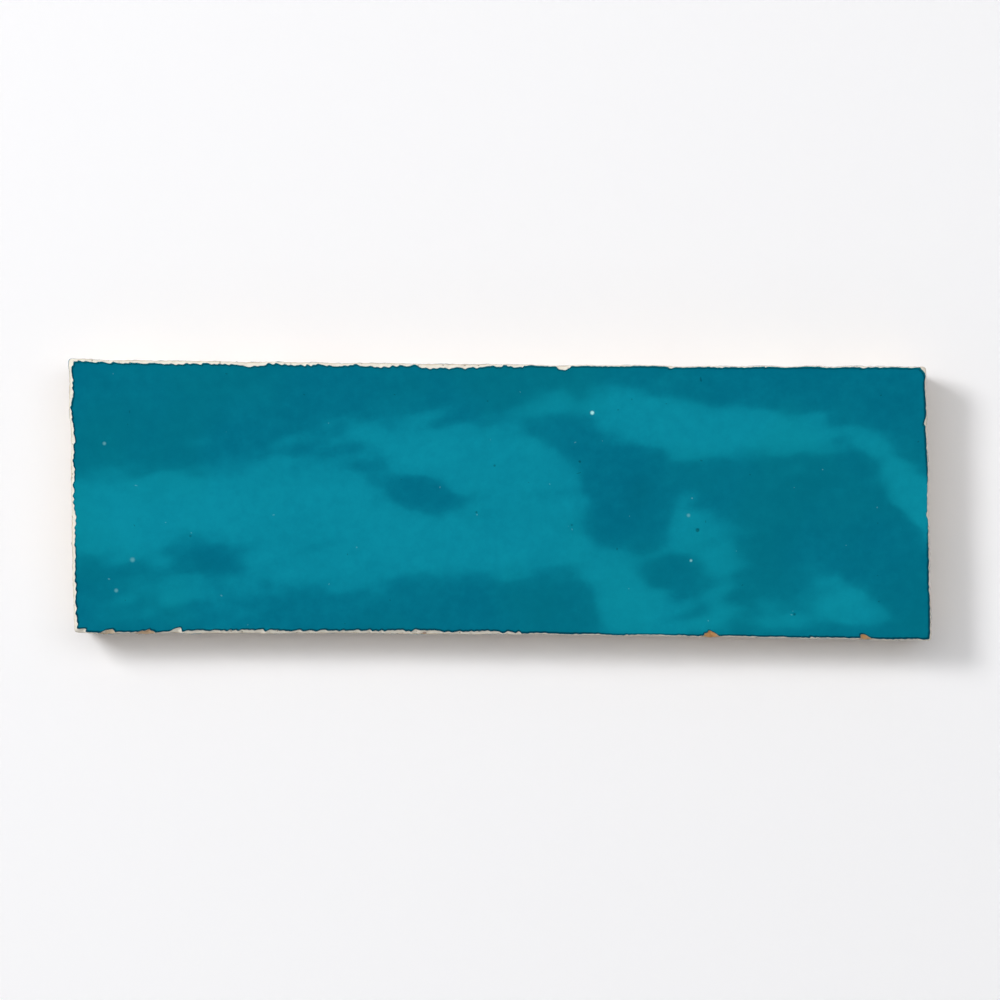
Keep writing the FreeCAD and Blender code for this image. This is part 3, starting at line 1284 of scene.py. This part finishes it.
@dataclass(frozen=True)
class FiredClay:
    """Pale fired clay: sandy, with pores and grit in it and some orange earth.

    Args:
        fresh, earth: its colours where it is freshly broken and in an orange chip.
        body, sand, stain: its coarse and its fine grain, and where it fired redder.
        fresh_grain: how much its coarse grain breaks up the fresh clay.
        body_ends, stain_ends, sand_ends, fresh_ends, earth_ends: where each of these begins to change
            the colour, and where it has changed it wholly.
        sand_rise, body_rise, grit_rise, pore_drop: their shares of its relief.
        relief: height in metres that stands for 1 in its relief.
    """

    pale: tuple = (0.72, 0.61, 0.45, 1)
    dull: tuple = (0.50, 0.39, 0.265, 1)
    orange: tuple = (0.56, 0.33, 0.18, 1)
    fresh: tuple = (0.89, 0.84, 0.73, 1)
    earth: tuple = (0.70, 0.36, 0.13, 1)
    pore: tuple = (0.22, 0.16, 0.10, 1)
    grit: tuple = (0.82, 0.78, 0.70, 1)
    iron: tuple = (0.24, 0.10, 0.05, 1)
    roughness: float = 0.88
    rough_share: float = 0.12
    body: Grain = Grain(230, 6, 0.72)
    sand: Grain = Grain(4200, 3, 0.7)
    stain: Grain = Grain(75, 4, 0.6)
    stain_share: float = 0.65
    sand_share: float = 0.35
    pores: Dots = Dots(2100, 0.42, 0.12)
    grits: Dots = Dots(800, 0.36, 0.10)
    irons: Dots = Dots(560, 0.24, 0.05)
    pore_share: float = 0.55
    grit_share: float = 0.6
    iron_share: float = 0.7
    fresh_grain: float = 1.2
    body_ends: Pair = (0.34, 0.66)
    stain_ends: Pair = (0.5, 0.72)
    sand_ends: Pair = (0.52, 0.75)
    fresh_ends: Pair = (-0.2, -0.9)
    earth_ends: Pair = (0.1, 0.8)
    sand_rise: float = 0.5
    body_rise: float = 1.6
    grit_rise: float = 0.5
    pore_drop: float = 1.2
    relief: float = 0.00014

    def shader(self, paint: Paint) -> bpy.types.NodeSocket:
        """Build the clay.

        Args:
            paint: adds the nodes.

        Returns:
            The socket of its shader.
        """
        body = paint.noise(self.body)
        sand = paint.noise(self.sand)
        colour = paint.blend(body.spread(*self.body_ends), self.dull, self.pale)
        redder = paint.noise(self.stain).spread(*self.stain_ends) * self.stain_share
        colour = paint.blend(redder, colour, self.orange)
        colour = paint.blend(sand.spread(*self.sand_ends) * self.sand_share, colour, self.dull)
        shade = paint.mark("tone")
        fresh = (shade + (body - 0.5) * self.fresh_grain).spread(*self.fresh_ends)
        colour = paint.blend(fresh, colour, self.fresh)
        colour = paint.blend(shade.spread(*self.earth_ends), colour, self.earth)
        pores = paint.dots(self.pores)
        grit = paint.dots(self.grits)
        colour = paint.blend(grit * self.grit_share, colour, self.grit)
        colour = paint.blend(paint.dots(self.irons) * self.iron_share, colour, self.iron)
        colour = paint.blend(pores * self.pore_share, colour, self.pore)
        raised = sand * self.sand_rise + body * self.body_rise + grit * self.grit_rise
        relief = raised - pores * self.pore_drop
        bump = paint.node("Bump", Height=relief, Strength=1.0, Distance=self.relief)
        shader = paint.node(
            "BsdfPrincipled",
            Base_Color=colour,
            Roughness=(sand - 0.5) * self.rough_share + self.roughness,
            Normal=bump.outputs[0],
        )
        return shader.outputs[0]


@dataclass(frozen=True)
class TileFinish:
    """Glaze and bare clay on one fired tile, with a ragged edge between them.

    Args:
        edge_ends: values of the ragged mark at which there is only clay, and only glaze.
    """

    glaze: TealGlaze = TealGlaze()
    clay: FiredClay = FiredClay()
    edge: Grain = Grain(2400, 3, 0.6)
    raggedness: float = 0.7
    edge_ends: Pair = (0.42, 0.58)

    def material(self) -> bpy.types.Material:
        """Make the material.

        Returns:
            The finished material.
        """
        material = bpy.data.materials.new("teal_glaze_on_clay")
        material.use_nodes = True
        tree = material.node_tree
        tree.nodes.clear()
        paint = Paint(tree)
        ragged = paint.mark("glaze") + (paint.noise(self.edge) - 0.5) * self.raggedness
        mix = paint.node("MixShader", Fac=ragged.spread(*self.edge_ends))
        plug(tree, mix.inputs[1], self.clay.shader(paint))
        plug(tree, mix.inputs[2], self.glaze.shader(paint))
        end = paint.node("OutputMaterial")
        plug(tree, end.inputs["Surface"], mix.outputs[0])
        return material


@dataclass
class Studio:
    """A white table, a wide soft box overhead, a lamp from the rear left and a camera straight above.

    Args:
        reach, table_gap: half the table's side, and how far under the tile it lies, in metres.
        opening: half sides of the opening that the tile covers.
        room, under: light of the room over and under the horizon.
        windows, window_start: number and place of the bars of light round the room.
        sill, head, horizon, bar, pane: where each of these begins and ends.
        box_size: the soft box along and across the tile.
    """

    reach: float = 3.0
    table_gap: float = 0.0001
    opening: Pair = (0.0722, 0.0213)
    table_colour: tuple = (0.955, 0.952, 0.97, 1)
    table_glow: float = 0.045
    table_roughness: float = 0.95
    view_width: float = 0.176
    view_height: float = 2.0
    view_turn: float = 0.49
    sensor: float = 36.0
    far: float = 50.0
    room: float = 0.16
    under: float = 0.9
    windows: int = 27
    window_start: float = 0.7
    cloud_scale: float = 13.0
    window_light: float = 1.6
    sill: Pair = (0.1, 0.2)
    head: Pair = (0.66, 0.8)
    horizon: Pair = (0.0, -0.2)
    bar: Pair = (-0.8, -0.4)
    pane: Pair = (0.52, 0.68)
    box_height: float = 3.0
    box_size: Pair = (4.4, 1.5)
    box_light: float = 2.05
    lamp_way: tuple[float, float, float] = (-0.62, 0.36, 0.86)
    lamp_distance: float = 1.5
    lamp_side: float = 0.42
    lamp_light: float = 1.12

    def floor(self) -> bpy.types.Object:
        """Lay the white table under the tile, open where the tile covers it so that the back shows.

        Returns:
            The table's object.
        """
        mesh = bpy.data.meshes.new("table")
        corners = [
            (sx * x, sy * y, -self.table_gap)
            for x, y in ((self.reach, self.reach), self.opening)
            for sx, sy in ((-1, -1), (1, -1), (1, 1), (-1, 1))
        ]
        sides = [(turn, (turn + 1) % 4, (turn + 1) % 4 + 4, turn + 4) for turn in range(4)]
        mesh.from_pydata(corners, [], sides)
        table = linked(bpy.data.objects.new("table", mesh))
        material = bpy.data.materials.new("white_table")
        material.use_nodes = True
        shader = material.node_tree.nodes["Principled BSDF"]
        shader.inputs["Base Color"].default_value = self.table_colour
        shader.inputs["Roughness"].default_value = self.table_roughness
        shader.inputs["Specular IOR Level"].default_value = 0.0
        shader.inputs["Emission Color"].default_value = (1, 1, 1, 1)
        shader.inputs["Emission Strength"].default_value = self.table_glow
        paint = Paint(material.node_tree)
        below = paint.node("NewGeometry").outputs["Backfacing"]
        mix = paint.node("MixShader", Fac=below)
        plug(paint.tree, mix.inputs[1], shader.outputs[0])
        plug(paint.tree, mix.inputs[2], paint.node("BsdfTransparent").outputs[0])
        plug(paint.tree, paint.tree.nodes["Material Output"].inputs["Surface"], mix.outputs[0])
        mesh.materials.append(material)
        return table

    def world(self) -> None:
        """Fill the room with an even light, white where the camera sees past the table."""
        world = bpy.data.worlds.new("room")
        bpy.context.scene.world = world
        world.use_nodes = True
        tree = world.node_tree
        ground = tree.nodes["Background"]
        ground.inputs["Color"].default_value = (1, 1, 1, 1)
        paint = Paint(tree)
        way = paint.node("TexCoord").outputs["Generated"]
        axes = paint.node("SeparateXYZ", Vector=way)
        x, y, z = (paint.value(axes, axis) for axis in "XYZ")
        turn = y.apply("ARCTAN2", x)
        bars = (turn * self.windows + self.window_start).apply("SINE").spread(*self.bar)
        clouds = paint.node("TexNoise", Vector=way, Scale=self.cloud_scale, Detail=1.0)
        panes = paint.value(clouds, "Fac").spread(*self.pane) * bars
        rows = z.spread(*self.sill) * (1 - z.spread(*self.head))
        lit = panes * rows * self.window_light + self.room + z.spread(*self.horizon) * self.under
        straight = paint.value(paint.node("LightPath"), "Is Camera Ray")
        plug(tree, ground.inputs["Strength"], straight + (1 - straight) * lit)

    def area(self, name: str, place: Vector, target: Vector, size: Pair, level: float) -> None:
        """Hang a rectangular light.

        Args:
            name: the light's name.
            place: its middle, in metres.
            target: the point that it faces.
            size: its two sides, in metres.
            level: how bright its surface is, where 1 is white.
        """
        light = bpy.data.lights.new(name, "AREA")
        light.shape = "RECTANGLE"
        light.size, light.size_y = size
        light.energy = level * math.pi * size[0] * size[1]
        item = linked(bpy.data.objects.new(name, light))
        item.location = place
        item.rotation_euler = (target - place).to_track_quat("-Z", "Y").to_euler()

    def lights(self) -> None:
        """Hang the soft box, with its front edge over the tile's middle, and the lamp."""
        place = Vector((0, self.box_size[1] / 2, self.box_height))
        self.area("soft_box", place, place - Vector((0, 0, 1)), self.box_size, self.box_light)
        way = Vector(self.lamp_way).normalized()
        level = self.lamp_light * self.lamp_distance**2 / self.lamp_side**2 / way.z
        size = (self.lamp_side, self.lamp_side)
        self.area("lamp", way * self.lamp_distance, Vector((0, 0, 0)), size, level)

    def camera(self) -> bpy.types.Object:
        """Hang the camera straight over the tile.

        Returns:
            The camera's object.
        """
        data = bpy.data.cameras.new("camera")
        data.sensor_width = self.sensor
        data.lens = data.sensor_width * self.view_height / self.view_width
        data.clip_end = self.far
        camera = linked(bpy.data.objects.new("camera", data))
        camera.location = (0, 0, self.view_height)
        camera.rotation_euler = (0, 0, math.radians(self.view_turn))
        bpy.context.scene.camera = camera
        return camera


def main() -> None:
    """Build the tile, dress it and light it."""
    logging.basicConfig(level=logging.INFO, format="%(message)s")
    scene = bpy.context.scene
    scene.view_settings.view_transform = "Standard"
    low, high = (np.array(corner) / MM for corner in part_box(NODE))
    outline = Outline(length=high[0] - low[0], width=high[1] - low[1])
    tile = TileBody(outline, Face(level=FACE_LEVEL))
    piece = tile.build()
    piece.data.materials.append(TileFinish().material())
    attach(piece, "root")
    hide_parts(NODE)
    log.info("%s: %d faces", piece.name, len(piece.data.polygons))

    studio = Studio()
    studio.floor()
    studio.world()
    studio.lights()
    studio.camera()


if __name__ == "__main__":
    main()
